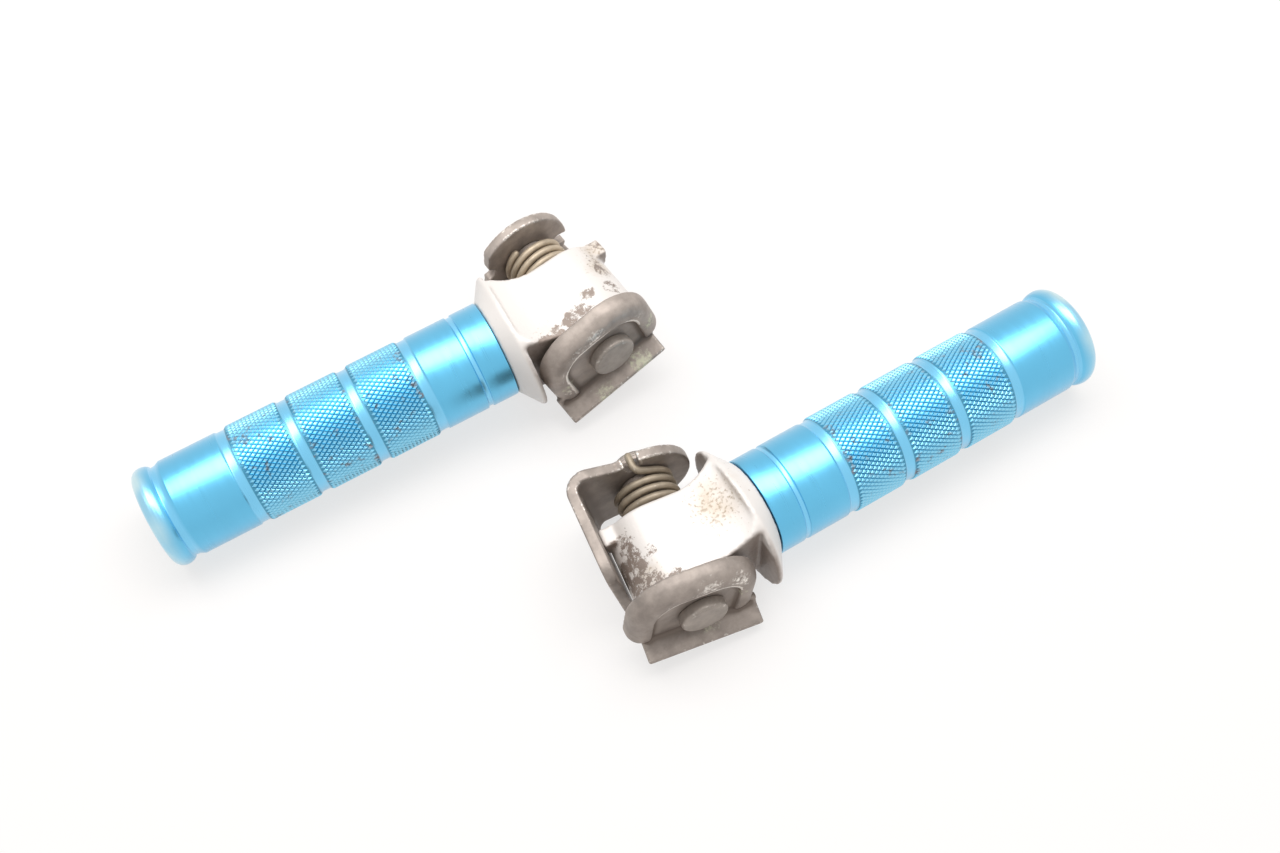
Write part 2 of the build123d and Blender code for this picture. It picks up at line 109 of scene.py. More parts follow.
class SleeveSizes(bpy.types.PropertyGroup):
    """The turned grip sleeve; lengths run along it from its inner end."""
    radius: length("Radius", "Outside radius of the smooth parts", 15.0)
    length: length("Length", "Whole length of the sleeve", 111.0)
    start: length("Start", "Distance from the pivot to the sleeve's inner end", 26.6)
    skew: FloatProperty(name="Skew", description="Turn of the grip from the arm", default=radians(7.7),
                        subtype="ANGLE")
    collar: length("Collar", "Length of the inner collar", 8.0)
    collar_groove: length("Collar groove", "Width of the groove after the collar", 1.8)
    collar_depth: length("Collar groove depth", "Depth of that groove", 0.5)
    band_start: length("First groove", "Middle of the groove before the first knurled band", 24.4)
    band_pitch: length("Band pitch", "Distance between the grooves of the knurled bands", 19.4)
    band_count: IntProperty(name="Bands", description="Number of knurled bands", default=3, min=1)
    band_rise: length("Band rise", "Height of the knurled bands over the smooth parts", 0.3)
    groove_w: length("Groove width", "Floor width of the grooves between bands", 2.2)
    groove_depth: length("Groove depth", "Depth of those grooves", 0.4)
    groove_slope: length("Groove slope", "Length of the chamfer beside each groove", 0.5)
    neck_to_end: length("Neck to end", "Distance from the neck to the outer end", 7.1)
    neck_w: length("Neck width", "Width of the neck before the end bead", 2.0)
    neck_depth: length("Neck depth", "Depth of the neck", 0.9)
    bead_rise: length("Bead rise", "Height of the end bead over the smooth parts", 0.6)
    bead_round: length("Bead rounding", "Radius of the bead's outer edge", 3.2)
    wall: length("Wall", "Wall of the sleeve round the spindle", 5.9)
    end_wall: length("End wall", "Wall round the recess for the end screw", 5.4)
    end_recess: length("End recess", "Depth from the outer end to the inner shoulder", 14.7)
    shoulder: length("Shoulder", "Thickness of the inner shoulder", 3.6)
    shoulder_hole: length("Shoulder hole", "Radius of the hole in the shoulder", 4.4)
    edge: length("Edge", "Rounding of the turned edges", 0.18)
    diamonds: IntProperty(name="Diamonds", description="Knurl diamonds round the sleeve", default=64, min=8)
    diamond_l: length("Diamond length", "Length of a knurl diamond along the sleeve", 2.3)
    diamond_depth: length("Knurl depth", "Depth of the knurl's grooves", 0.4)
    diamond_flat: FloatProperty(name="Knurl flat", description="Share of a diamond left flat at its top",
                                default=0.5, min=0, max=0.9, subtype="FACTOR")


class CastingSizes(bpy.types.PropertyGroup):
    """How finely the cast and pressed pieces are skinned."""
    arm_skin: length("Arm skin", "Mesh size on the cast arms", 0.5)
    bracket_skin: length("Bracket skin", "Mesh size on the brackets", 0.42)
    plate_skin: length("Plate skin", "Mesh size on the side plates", 0.34)
    small_skin: length("Small skin", "Mesh size on pins, washers and screws", 0.3)
    arm_passes: IntProperty(name="Arm softness", description="Smoothing passes that round a casting's edges",
                            default=5, min=0)
    sheet_passes: IntProperty(name="Sheet softness", description="Smoothing passes on the brackets",
                              default=6, min=0)
    plate_passes: IntProperty(name="Plate softness", description="Smoothing passes on the side plates",
                              default=16, min=0)
    small_passes: IntProperty(name="Small softness", description="Smoothing passes on small turned pieces",
                              default=2, min=0)


class SpringSizes(bpy.types.PropertyGroup):
    """The return spring on its tube; y runs along the pin, with the head at +y."""
    wire: length("Wire radius", "Radius of the spring's wire", 1.1)
    coil: length("Coil radius", "Radius to the middle of the wire", 8.4)
    ear_side: length("Ear side", "Distance from the peg's middle to the first turn", 22.9)
    arm_side: length("Arm side", "Distance from the peg's middle to the last turn", 13.8)
    turns: FloatProperty(name="Turns", description="Turns of the coil", default=3.25, min=1)
    hook: length("Hook reach", "Distance from the pin to the hook in the ear's slot", 11.5)
    hook_out: length("Hook length", "Distance from the peg's middle to the hook's tip", 27.9)
    leg_tip: FloatVectorProperty(name="Leg tip", description="Tip of the leg, in its hole in the arm",
                                 default=(mm(1.88), mm(-8.8), mm(-9.82)), subtype="XYZ", unit="LENGTH")
    end_turn: FloatProperty(name="End turn", description="Angle at which the coil leaves for its leg",
                            default=radians(321.37), subtype="ANGLE")
    bend: length("Bend", "Radius of the wire's bends", 2.2)
    rest_turn: FloatProperty(name="Rest turn", description="Turn of the bracket against the unfolded arm",
                             default=radians(10), subtype="ANGLE")


class Finishes(bpy.types.PropertyGroup):
    """Colours of the finishes."""
    blue: colour("Anodised blue", "Anodised aluminium, turned and knurled", "64C1E9")
    # Painted shade: the colour that darkens the bottom of the knurl's grooves
    blue_groove_shade: colour("Knurl groove", "Bottom of the knurl's grooves", "3C8DAE")
    blue_pale: colour("Groove floor", "Bright floors of the grooves between bands", "78C9EE")
    # Painted highlight on the end bead, drawn as anodising rubbed thin
    blue_bead_highlight: colour("Worn end", "Anodising rubbed thin on the end bead", "C4E3EA")
    blue_facet: colour("Knurl facet", "Tops of the knurl, rubbed paler", "82CBE8")
    dirt: colour("Dirt", "Road dirt held by the knurl", "84706C")
    paint: colour("Paint", "Silver-white paint on the castings", "E6E0DB")
    casting: colour("Casting", "Bare casting under chipped paint", "A4958B")
    dust: colour("Dust", "Dry dust on the paint", "B9A07F")
    steel: colour("Pressed steel", "Weathered plating on the pressed pieces", "B2A69D")
    # Painted shade in the hollows of the steel
    steel_hollow_shade: colour("Steel shadow", "Grime in the hollows of the steel", "766A61")
    # Bright edges: partly rubbed wear, partly a painted highlight on every convex edge
    steel_edge_wear_and_highlight: colour("Worn steel", "Edges rubbed bright", "EDE7DF")
    lime: colour("White rust", "Pale corrosion on the plate's lip", "CBCBB2")
    pin: colour("Pin steel", "Dull head and shank of the pin", "A99F96")
    zinc: colour("Yellow zinc", "Passivated wire of the spring", "C6B69F")


class StageSizes(bpy.types.PropertyGroup):
    """Camera, floor and light."""
    lens: FloatProperty(name="Lens", description="Focal length in millimetres", default=45.98, min=10)
    camera: FloatVectorProperty(name="Camera", description="Camera from the middle between the pivots",
                                default=(mm(5.11), mm(-222.78), mm(440.70)), subtype="XYZ", unit="LENGTH")
    look: FloatVectorProperty(name="Look", description="Direction in which the camera looks",
                              default=(0, 0.467, -0.884), subtype="DIRECTION")
    head_up: FloatVectorProperty(name="Head up", description="Direction that is up in the picture",
                                 default=(0.08, 0.88, 0.47), subtype="DIRECTION")
    floor: FloatProperty(name="Floor", description="Side of the floor", default=6.0, unit="LENGTH")
    lamp_w: FloatProperty(name="Lamp width", description="Width of the overhead lamp", default=1.1,
                          unit="LENGTH")
    lamp_d: FloatProperty(name="Lamp depth", description="Depth of the overhead lamp", default=0.55,
                          unit="LENGTH")
    lamp_h: FloatProperty(name="Lamp height", description="Height of the overhead lamp", default=0.85,
                          unit="LENGTH")
    lamp_back: FloatProperty(name="Lamp back", description="How far the lamp stands behind the object",
                             default=0.22, unit="LENGTH")
    lamp_power: FloatProperty(name="Lamp power", description="Power of the overhead lamp in watts",
                              default=8.6, min=0)
    sky: FloatProperty(name="Room light", description="Light of the room on the object", default=0.42, min=0)


class FootpegSettings(bpy.types.PropertyGroup):
    """All sizes and colours of the footpegs."""
    sleeve: PointerProperty(type=SleeveSizes)
    casting: PointerProperty(type=CastingSizes)
    spring: PointerProperty(type=SpringSizes)
    finish: PointerProperty(type=Finishes)
    stage: PointerProperty(type=StageSizes)


# Places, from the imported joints

def fold_joint(side):
    return next(joint for joint in frame["joints"] if joint["name"] == side + "_fold")


def peg_place(settings, side):
    """Matrix of a peg's own frame: x out along the arm, y towards the pin's head, z up.
    The right peg's frame is a mirror image."""
    sleeve = settings.sleeve
    joint = fold_joint(side)
    pivot = Vector(joint["pos_m"])
    head = -Vector(joint["axis"])
    level = head.cross(UP) if side == "left" else UP.cross(head)
    bead = sleeve.radius + sleeve.bead_rise
    reach = (sleeve.start + sleeve.length - sleeve.bead_round) * cos(sleeve.skew)
    dip = asin(pivot.z / hypot(reach, bead)) - atan2(bead, reach)
    out = level * cos(dip) - UP * sin(dip)
    up = UP * cos(dip) + level * sin(dip)
    place = Matrix((out, head, up)).transposed().to_4x4()
    place.translation = pivot
    return place


def grip_place(settings, side):
    """Matrix of the grip's frame: x along the sleeve from its inner end."""
    turn = Matrix.Rotation(-settings.sleeve.skew, 4, "Z")
    return peg_place(settings, side) @ turn @ Matrix.Translation((settings.sleeve.start, 0, 0))


# Meshes

def write_attribute(mesh, name, values, kind="FLOAT"):
    field = "vector" if kind == "FLOAT_VECTOR" else "value"
    layer = mesh.attributes.new(name, kind, "POINT")
    layer.data.foreach_set(field, np.asarray(values, np.float32).ravel())


def read_points(mesh):
    points = np.empty(len(mesh.vertices) * 3)
    mesh.vertices.foreach_get("co", points)
    return points.reshape(-1, 3)


def read_normals(mesh):
    normals = np.empty(len(mesh.vertices) * 3)
    mesh.vertex_normals.foreach_get("vector", normals)
    return normals.reshape(-1, 3)


def read_edges(mesh):
    """The first and the second vertex of every edge."""
    edges = np.empty(len(mesh.edges) * 2, np.int32)
    mesh.edges.foreach_get("vertices", edges)
    return edges.reshape(-1, 2).T


def settle(mesh, name, place, node_name, material, rides=True):
    """Makes a piece of a mesh drawn in its own frame, in the place and on the body of its CAD node.
    A piece that doesn't ride one body is left on none."""
    write_attribute(mesh, "place_mm", read_points(mesh) / PER_MM, "FLOAT_VECTOR")
    mesh.transform(place)
    if place.determinant() < 0:
        mesh.flip_normals()
    mesh.update()
    mesh.materials.clear()
    mesh.materials.append(material)
    piece = bpy.data.objects.new(name, mesh)
    bpy.context.scene.collection.objects.link(piece)
    node = frame["nodes"][node_name]
    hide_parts(node_name)
    if rides:
        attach(piece, node["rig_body"])
    return piece


def skinned(node_name, place, skin, passes):
    """An even mesh over a CAD node, in the piece's own frame, with its edges softened."""
    mesh = frame["nodes"][node_name].data.copy()
    mesh.transform(place.inverted())
    for layer in list(mesh.color_attributes):
        mesh.color_attributes.remove(layer)
    draft = bpy.data.objects.new("draft", mesh)
    bpy.context.scene.collection.objects.link(draft)
    weld = draft.modifiers.new("Weld", "WELD")
    weld.merge_threshold = mm(0.002)
    remesh = draft.modifiers.new("Skin", "REMESH")
    remesh.mode = "VOXEL"
    remesh.voxel_size = skin
    remesh.use_smooth_shade = True
    if passes:
        smooth = draft.modifiers.new("Soften", "SMOOTH")
        smooth.factor = 0.5
        smooth.iterations = passes
    seen = draft.evaluated_get(bpy.context.evaluated_depsgraph_get())
    made = bpy.data.meshes.new_from_object(seen)
    bpy.data.objects.remove(draft)
    bpy.data.meshes.remove(mesh)
    return made


def spread(mesh, values, passes):
    """Blurs a value per vertex over its neighbours."""
    a, b = read_edges(mesh)
    count = len(values)
    share = np.bincount(a, minlength=count) + np.bincount(b, minlength=count) + 1
    for _ in range(passes):
        values = (values + np.bincount(a, values[b], count) + np.bincount(b, values[a], count)) / share
    return values


def mark_bends(mesh):
    """Writes how sharply each place bends: crest on outer edges, hollow in inner corners."""
    # How much an edge has to bend over 1 mm to count in full
    full_crest, full_hollow = 0.22, 0.11
    points, normals = read_points(mesh) / PER_MM, read_normals(mesh)
    a, b = read_edges(mesh)
    step = points[b] - points[a]
    squared = np.maximum((step ** 2).sum(1), 1e-9)
    count = len(points)
    bend = np.bincount(a, -(normals[a] * step).sum(1) / squared, count)
    bend += np.bincount(b, (normals[b] * step).sum(1) / squared, count)
    bend /= np.maximum(np.bincount(a, minlength=count) + np.bincount(b, minlength=count), 1)
    write_attribute(mesh, "crest", np.clip(spread(mesh, bend, 2) / full_crest, 0, 1))
    write_attribute(mesh, "hollow", np.clip(-spread(mesh, bend, 5) / full_hollow, 0, 1))


def mark_spots(mesh, name, spots):
    """Writes an attribute that rises to each spot's strength; a spot is (x, y, z, reach, strength) in mm."""
    steepness = 1.4
    points = read_points(mesh) / PER_MM
    values = np.zeros(len(points))
    for *middle, reach, strength in spots:
        away = np.linalg.norm(points - middle, axis=1) / reach
        values = np.maximum(values, strength * np.clip(steepness * (1 - away), 0, 1))
    write_attribute(mesh, name, values)


def mark_steel(mesh, limed=(), rubbed=()):
    """Writes what the weathered steel reads: its bends, white rust and rubbed edges."""
    mark_bends(mesh)
    mark_spots(mesh, "limed", limed)
    mark_spots(mesh, "rubbed", rubbed)


def mark_wall_shade(mesh):
    """Writes the painted shade on a casting: how far its surface is one of the walls that face the plate or
    the ground.
    """
    # Where the walls end and the back of the flange's rim starts along the arm, and how high that
    # back goes, in mm
    neck_end, rim_start, rim_top = 24, 14, 9
    x, _, z = (read_points(mesh) / PER_MM).T
    along, across, upward = read_normals(mesh).T
    facing = np.clip((across - 0.35) / 0.4, 0, 1) * (x < neck_end)
    under = np.clip((-upward - 0.1) / 0.5, 0, 1) * (x < neck_end)
    behind_rim = np.clip((-along - 0.3) / 0.4, 0, 1) * (x > rim_start) * (z < rim_top)
    write_attribute(mesh, "wall", spread(mesh, np.maximum.reduce([facing, under, behind_rim]), 3))


def ring_points(rows, columns):
    """Points of rings round x: each row is (x, radius)."""
    angles = np.arange(columns) * tau / columns
    across, up = np.sin(angles), np.cos(angles)
    return np.concatenate([np.stack([np.full(columns, x), radius * across, radius * up], 1)
                           for x, radius in rows])


# Points on each rounded corner of a turned outline
CORNER_POINTS = 4


def rounded_outline(corners, reach):
    """An outline of (x, radius) corners with each corner turned into a short arc."""
    most_of_side = 0.4
    outline = []
    count = len(corners)
    for i in range(count):
        before, at, after = (Vector(corners[(i + d) % count]) for d in (-1, 0, 1))
        into, away = (at - before), (after - at)
        cut = min(reach, most_of_side * into.length, most_of_side * away.length)
        first, last = at - into.normalized() * cut, at + away.normalized() * cut
        for step in range(CORNER_POINTS):
            t = step / (CORNER_POINTS - 1)
            outline.append(tuple(first * (1 - t) ** 2 + at * (2 * t * (1 - t)) + last * t ** 2))
    return outline


# The knurled sleeve

def band_edges(sleeve, i):
    """Where knurled band i starts and ends."""
    half = sleeve.groove_w / 2 + sleeve.groove_slope
    low = sleeve.band_start + i * sleeve.band_pitch + half
    return low, low + sleeve.band_pitch - 2 * half


def inner_run(sleeve):
    """Corners of the smooth run from the inner end to the first knurled band."""
    r = sleeve.radius
    collar_floor = r - sleeve.collar_depth
    after = sleeve.collar + sleeve.collar_groove
    slope = 0.6 * sleeve.collar_depth
    return [(0, r - sleeve.wall), (0, r), (sleeve.collar, r), (sleeve.collar + slope, collar_floor),
            (after - slope, collar_floor), (after, r)] + groove_corners(sleeve, 0)


def groove_corners(sleeve, i):
    """Corners of the groove before band i, up to the knurl's foot."""
    at = sleeve.band_start + i * sleeve.band_pitch
    half = sleeve.groove_w / 2
    floor = sleeve.radius - sleeve.groove_depth
    knurl_foot = sleeve.radius + sleeve.band_rise - sleeve.diamond_depth
    before = sleeve.radius if i == 0 else knurl_foot
    after = sleeve.radius if i == sleeve.band_count else knurl_foot
    return [(at - half - sleeve.groove_slope, before), (at - half, floor), (at + half, floor),
            (at + half + sleeve.groove_slope, after)]


# Turns in degrees at which the hollow of the neck and the round of the bead have points
NECK_TURNS = (25, 50, 72, 90)
BEAD_TURNS = (18, 36, 54, 72, 90)


def outer_run(sleeve):
    """Corners from the last groove over the neck and the bead, and back through the bore."""
    r = sleeve.radius
    neck = sleeve.length - sleeve.neck_to_end
    neck_floor = r - sleeve.neck_depth
    bead_r = r + sleeve.bead_rise
    crown = sleeve.length - sleeve.bead_round
    corners = groove_corners(sleeve, sleeve.band_count)
    corners += [(neck - sleeve.neck_w, r), (neck - sleeve.neck_w * 0.3, r - sleeve.neck_depth * 0.75),
                (neck + sleeve.neck_w * 0.4, neck_floor)]
    foot, rise = neck + sleeve.neck_w * 0.5, sleeve.neck_depth + sleeve.bead_rise
    for turn in NECK_TURNS:
        corners.append((foot + (crown - foot) * (1 - cos(radians(turn))),
                        neck_floor + rise * sin(radians(turn))))
    for turn in BEAD_TURNS:
        corners.append((crown + sleeve.bead_round * sin(radians(turn)),
                        bead_r - sleeve.bead_round * (1 - cos(radians(turn)))))
    recess_r, shoulder_at = r - sleeve.end_wall, sleeve.length - sleeve.end_recess
    shoulder_top = shoulder_at + sleeve.shoulder
    corners += [(sleeve.length, recess_r), (shoulder_top, recess_r), (shoulder_top, sleeve.shoulder_hole),
                (shoulder_at, sleeve.shoulder_hole), (shoulder_at, r - sleeve.wall)]
    return corners


# What the sleeve's mesh says of its finish and of its painted shade and highlight, and the values at the
# knurl's foot and top
MASKS = ("groove", "pale", "knurled", "worn")
KNURL_FOOT = (1, 0, 1, 0)
KNURL_TOP = (0, 0, 1, 0)


class SleeveBuilder:
    """Gathers the rings, knurl and masks of a sleeve."""

    def __init__(self, sleeve):
        self.sleeve = sleeve
        self.columns = 2 * sleeve.diamonds
        self.points, self.masks = [], []
        self.faces, self.flat = [], []
        self.count = 0

    def add_points(self, points, mask):
        """Adds points with one mask and gives the number of the first one."""
        first = self.count
        self.points.append(points)
        self.masks.append(np.broadcast_to(mask, (len(points), len(MASKS))))
        self.count += len(points)
        return first

    def add_faces(self, faces, flat):
        self.faces += faces
        self.flat += [flat] * len(faces)

    def ring(self, x, radius, mask):
        return self.add_points(ring_points([(x, radius)], self.columns), mask)

    def strip(self, a, b):
        """Joins two rings."""
        n = self.columns
        self.add_faces([(a + i, b + i, b + (i + 1) % n, a + (i + 1) % n) for i in range(n)], False)

    def lathe(self, outline, last):
        """Turned run that starts at ring `last`, or by itself when that is None."""
        sleeve = self.sleeve
        pale_radius = sleeve.radius - sleeve.groove_depth * 0.7
        recess_r = sleeve.radius - sleeve.end_wall
        # The painted highlight on the end bead rises from here towards the end.
        bead_highlight_from = sleeve.length - 1.7 * sleeve.bead_round
        for x, radius in outline:
            pale = float(radius < pale_radius and 0 < x < sleeve.length - mm(1))
            worn = min(max((x - bead_highlight_from) / sleeve.bead_round, 0), 1) if radius > recess_r else 0
            ring = self.ring(x, radius, (0, pale, 0, worn))
            if last is not None:
                self.strip(last, ring)
            last = ring
        return last

    def knurl(self, start, end, first):
        """Knurled band of cut pyramids between two ends, on from ring `first`."""
        sleeve, n = self.sleeve, self.columns
        last_row = 2 * round((end - start) / sleeve.diamond_l)
        step = (end - start) / last_row
        places = [start + row * step for row in range(last_row + 1)]
        top = sleeve.radius + sleeve.band_rise
        foot = top - sleeve.diamond_depth
        rows = [first] + [self.ring(x, foot, KNURL_FOOT) for x in places[1:]]
        grid, tips = (ring_points([(x, radius) for x in places], n).reshape(-1, n, 3)
                      for radius in (foot, top))
        for row in range(last_row + 1):
            for i in range((row + 1) % 2, n, 2):
                left, right = (i - 1) % n, (i + 1) % n
                if row == 0:
                    self.add_faces([(rows[0] + left, rows[1] + i, rows[0] + i),
                                    (rows[0] + i, rows[1] + i, rows[0] + right)], True)
                elif row == last_row:
                    self.add_faces([(rows[row] + left, rows[row] + i, rows[row - 1] + i),
                                    (rows[row] + i, rows[row] + right, rows[row - 1] + i)], True)
                else:
                    around = [(row - 1, i), (row, left), (row + 1, i), (row, right)]
                    self.diamond(grid, tips[row, i], (row, i), around, rows)
        return rows[-1]

    def diamond(self, grid, tip, middle, around, rows):
        """A cut pyramid on four points around its middle, with a small flat on top."""
        share = self.sleeve.diamond_flat
        top = self.add_points(np.array([tip * (1 - share) + (grid[at] + (tip - grid[middle])) * share
                                        for at in around]), KNURL_TOP)
        feet = [rows[row] + column for row, column in around]
        self.add_faces([(feet[(k + 1) % 4], feet[k], top + k, top + (k + 1) % 4) for k in range(4)], True)
        self.add_faces([(top + 3, top + 2, top + 1, top)], True)

    def mesh(self):
        made = bpy.data.meshes.new("sleeve")
        made.from_pydata(np.concatenate(self.points).tolist(), [], self.faces)
        made.polygons.foreach_set("use_smooth", [not flat for flat in self.flat])
        for name, values in zip(MASKS, np.concatenate(self.masks).T):
            write_attribute(made, name, values)
        made.update()
        return made


def sleeve_mesh(sleeve):
    """The whole sleeve: a closed turned skin with its knurled bands, in the grip's frame.
    The corner where a run meets a band is left out, because the band's own ring stands there."""
    builder = SleeveBuilder(sleeve)
    foot = sleeve.radius + sleeve.band_rise - sleeve.diamond_depth
    first_ring = builder.count
    last = builder.lathe(rounded_outline(inner_run(sleeve), sleeve.edge)[:-CORNER_POINTS], None)
    for i in range(sleeve.band_count):
        start, end = band_edges(sleeve, i)
        knurl_start = builder.ring(start, foot, KNURL_FOOT)
        builder.strip(last, knurl_start)
        last = builder.knurl(start, end, knurl_start)
        if i + 1 < sleeve.band_count:
            corners = rounded_outline(groove_corners(sleeve, i + 1), sleeve.edge)
            last = builder.lathe(corners[CORNER_POINTS:-CORNER_POINTS], last)
    last = builder.lathe(rounded_outline(outer_run(sleeve), sleeve.edge)[CORNER_POINTS:], last)
    builder.strip(last, first_ring)
    return builder.mesh()


# The spring

POINTS_PER_TURN = 48
BEND_POINTS = 7
# A wire's rounded end: rings at (how far out, how thick), as shares of its radius
WIRE_CAP = ((0.7, 0.72), (0.95, 0.3))


def wire_path(spring, hooked):
    """Points down the middle of the wire: hook, coil, and the leg that dives into the arm."""
    first = pi / 2 - atan2((spring.hook ** 2 - spring.coil ** 2) ** 0.5, spring.coil) + spring.rest_turn
    swept = first + tau * round(spring.turns) - spring.end_turn + tau
    far, near = -spring.ear_side, -spring.arm_side
    path = []
    if hooked:
        over = pi / 2 + spring.rest_turn
        corner = Vector((spring.hook * cos(over), far, spring.hook * sin(over)))
        tip = Vector((corner.x, -spring.hook_out, corner.z))
        start = coil_point(spring, first, far)
        path += bent(tip, corner, start, spring.bend)
    steps = int(spring.turns * POINTS_PER_TURN)
    for step in range(steps + 1):
        share = step / steps
        path.append(coil_point(spring, first - swept * share, far + (near - far) * share))
    tip = Vector(spring.leg_tip)
    path += bent(path[-1], Vector((tip.x, near, tip.z)), tip, spring.bend)[1:]
    path.append(tip)
    return path


def coil_point(spring, angle, y):
    return Vector((spring.coil * cos(angle), y, spring.coil * sin(angle)))


def bent(start, corner, end, reach):
    """A straight run, a bend and the start of the next run."""
    first = corner + (start - corner).normalized() * reach
    last = corner + (end - corner).normalized() * reach
    return [start] + [first * (1 - t) ** 2 + corner * (2 * t * (1 - t)) + last * t ** 2
                      for t in np.linspace(0, 1, BEND_POINTS)]


def wire_mesh(path, radius, sides=14):
    """A round wire swept along a path, closed with rounded ends."""
    shortest = radius * 0.05
    points = [path[0]]
    for point in path[1:]:
        if (point - points[-1]).length > shortest:
            points.append(point)
    heading = (points[1] - points[0]).normalized()
    side = heading.orthogonal().normalized()
    rows = []
    for i, point in enumerate(points):
        ahead = points[min(i + 1, len(points) - 1)] - points[max(i - 1, 0)]
        turn = heading.rotation_difference(ahead.normalized())
        heading = ahead.normalized()
        side = (turn @ side).normalized()
        other = heading.cross(side)
        rings = [(0.0, 1.0)]
        if i == 0:
            rings = [(-out, thick) for out, thick in reversed(WIRE_CAP)] + rings
        if i == len(points) - 1:
            rings += WIRE_CAP
        for out, thick in rings:
            middle, r = point + heading * (out * radius), thick * radius
            rows.append([middle + (side * cos(tau * k / sides) + other * sin(tau * k / sides)) * r
                         for k in range(sides)])
    vertices = [point for row in rows for point in row]
    faces = []
    for row in range(len(rows) - 1):
        for k in range(sides):
            a, b = row * sides + k, row * sides + (k + 1) % sides
            faces.append((a, b, b + sides, a + sides))
    faces.append(tuple(range(sides))[::-1])
    faces.append(tuple((len(rows) - 1) * sides + k for k in range(sides)))
    mesh = bpy.data.meshes.new("wire")
    mesh.from_pydata([tuple(v) for v in vertices], [], faces)
    mesh.polygons.foreach_set("use_smooth", [True] * len(faces))
    mesh.update()
    return mesh


# Materials

def node(tree, kind, links=None, **settings):
    """Adds a shader node with its settings; links are sockets to join or values to set."""
    made = tree.nodes.new("ShaderNode" + kind)
    for name, value in settings.items():
        setattr(made, name, value)
    for name, value in (links or {}).items():
        if isinstance(value, bpy.types.NodeSocket):
            tree.links.new(value, made.inputs[name])
        else:
            made.inputs[name].default_value = value
    return made


def mask(tree, name):
    """An attribute of the piece's mesh, from 0 to 1."""
    return node(tree, "Attribute", attribute_name=name).outputs["Fac"]


def noise(tree, place, size, detail, roughness=0.5):
    """Noise with marks of about `size` mm."""
    settings = {"Vector": place, "Scale": 1 / size, "Detail": detail, "Roughness": roughness}
    return node(tree, "TexNoise", settings).outputs["Fac"]


def span(tree, value, start, end, low=0.0, high=1.0):
    """Stretches a value's run from start to end over low to high."""
    return node(tree, "MapRange", {0: value, 1: start, 2: end, 3: low, 4: high}).outputs[0]


def calc(tree, operation, *values):
    return node(tree, "Math", dict(enumerate(values)), operation=operation).outputs[0]


def mix(tree, share, first, second):
    """A colour between two others; at share 1 it is the second."""
    return node(tree, "Mix", {0: share, 6: first, 7: second}, data_type="RGBA").outputs[2]


def sight_ray(tree):
    """1 for the rays that see the stage itself: from the camera, mirrored or through glass."""
    ray = node(tree, "LightPath")
    clear = calc(tree, "MAXIMUM", ray.outputs["Is Camera Ray"], ray.outputs["Is Glossy Ray"])
    return calc(tree, "MAXIMUM", clear, ray.outputs["Is Transmission Ray"])


def blank_material(name):
    """An empty material, its node tree and the socket of the place on the piece in mm."""
    material = bpy.data.materials.new(name)
    material.use_nodes = True
    tree = material.node_tree
    tree.nodes.clear()
    place = node(tree, "Attribute", attribute_name="place_mm").outputs["Vector"]
    return material, tree, place


def anodised_aluminium(finish):
    """Blue anodised aluminium, turned and knurled: a clear tinted metal whose turning marks
    stretch each highlight round the sleeve, with painted shade at the bottom of the knurl and a painted
    highlight on the end bead."""
    material, tree, place = blank_material("anodised_aluminium_turned_and_knurled")
    # Turning marks are 0.1 mm apart on the real sleeve; they are drawn 0.7 mm apart to show.
    along = node(tree, "VectorMath", {0: place, 1: (1 / 0.7, 0.03, 0.03)}, operation="MULTIPLY")
    marks = noise(tree, along.outputs[0], 1.0, 3.0, 0.6)
    clouds = noise(tree, place, 14, 2.0)
    tint = mix(tree, clouds, rgba(finish.blue), rgba(finish.blue, 0.86))
    floor = mix(tree, mask(tree, "pale"), tint, rgba(finish.blue_pale))
    knurled = mask(tree, "knurled")
    faceted = mix(tree, knurled, floor, rgba(finish.blue_facet))
    # Painted shade: the bottom of the knurl's grooves is darkened to a deeper blue.
    cut = span(tree, mask(tree, "groove"), 0.45, 1.0)
    groove_shaded = mix(tree, cut, faceted, rgba(finish.blue_groove_shade))
    # Painted highlight on the end bead: nearly silver in patches of 5 to 8 mm, drawn as anodising rubbed
    # thin.
    patches = span(tree, clouds, 0.35, 0.6, low=0.45)
    thin = calc(tree, "MULTIPLY", mask(tree, "worn"), patches)
    rubbed = mix(tree, thin, groove_shaded, rgba(finish.blue_bead_highlight))
    # Road dirt sits in a few diamonds of the knurl, in specks of 1 to 2 mm.
    specks = noise(tree, place, 3.2, 3.0, 0.55)
    held = span(tree, specks, 0.6, 0.7, high=0.75)
    dirty = calc(tree, "MULTIPLY", held, knurled)
    shade = mix(tree, dirty, rubbed, rgba(finish.dirt))
    gloss = span(tree, marks, 0.3, 0.7, 0.27, 0.37)
    rough = calc(tree, "MULTIPLY_ADD", dirty, 0.4, gloss)
    bump = node(tree, "Bump", {"Strength": 0.06, "Distance": mm(0.03), "Height": marks})
    surface = node(tree, "BsdfPrincipled", {"Base Color": shade, "Metallic": 1.0, "Roughness": rough,
                                            "Normal": bump.outputs[0], "Coat Weight": 0.8,
                                            "Coat Roughness": 0.3})
    node(tree, "OutputMaterial", {"Surface": surface.outputs[0]})
    return material


